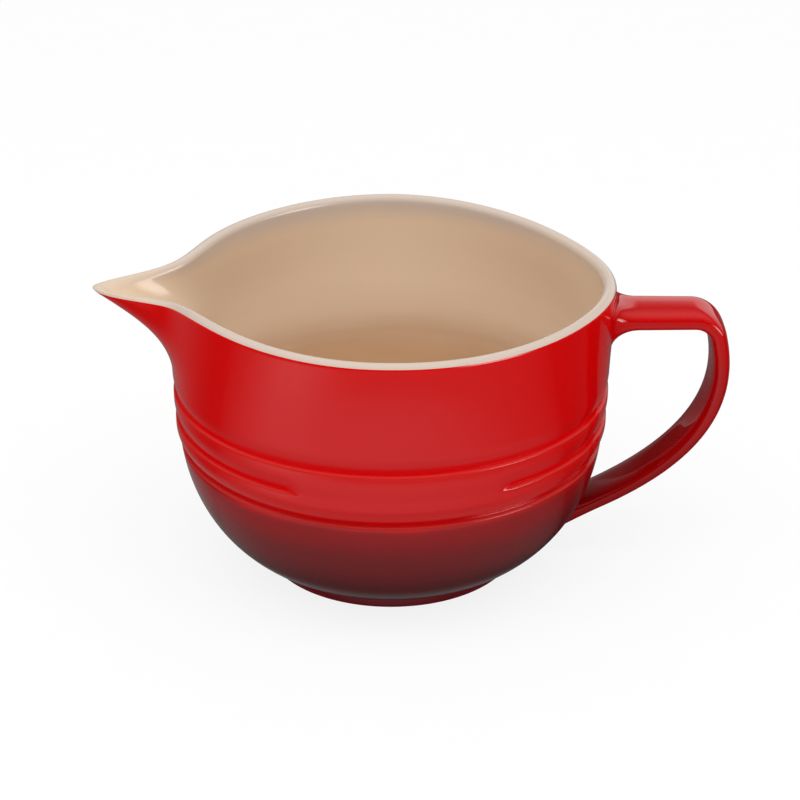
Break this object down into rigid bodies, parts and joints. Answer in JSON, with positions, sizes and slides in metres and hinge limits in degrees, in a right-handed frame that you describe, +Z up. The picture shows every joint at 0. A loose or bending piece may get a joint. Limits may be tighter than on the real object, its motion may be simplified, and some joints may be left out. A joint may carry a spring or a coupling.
{
  "type": "batter bowl",
  "caption": "Round glazed stoneware mixing bowl with a drawn pouring spout, ringed wall, turned foot and a strap handle opposite the spout.",
  "frame": {"origin": "on the bowl's axis, in the plane of the table that its foot stands on", "axes": "+Z up along the bowl's axis, -X towards the spout, +X towards the handle, -Y towards the smooth front band; apart from that band the part is symmetric about the XZ plane"},
  "size_m": [0.2812, 0.2002, 0.1368],
  "materials": {
    "clay": "fired stoneware, matt",
    "bare_clay": "bare ground stoneware",
    "red_glaze": "gloss red glaze, darker towards the foot",
    "cream_glaze": "gloss cream glaze",
    "dark_glaze": "gloss maroon glaze"
  },
  "bodies": {
    "root": {"bowl_body": "clay", "foot_ring": "bare_clay", "outer_glaze": "red_glaze", "lining_glaze": "cream_glaze", "base_glaze": "dark_glaze", "handle": "clay", "handle_glaze": "red_glaze", "upper_slip_joint": "red_glaze", "lower_slip_joint": "dark_glaze"}
  },
  "joints": []
}
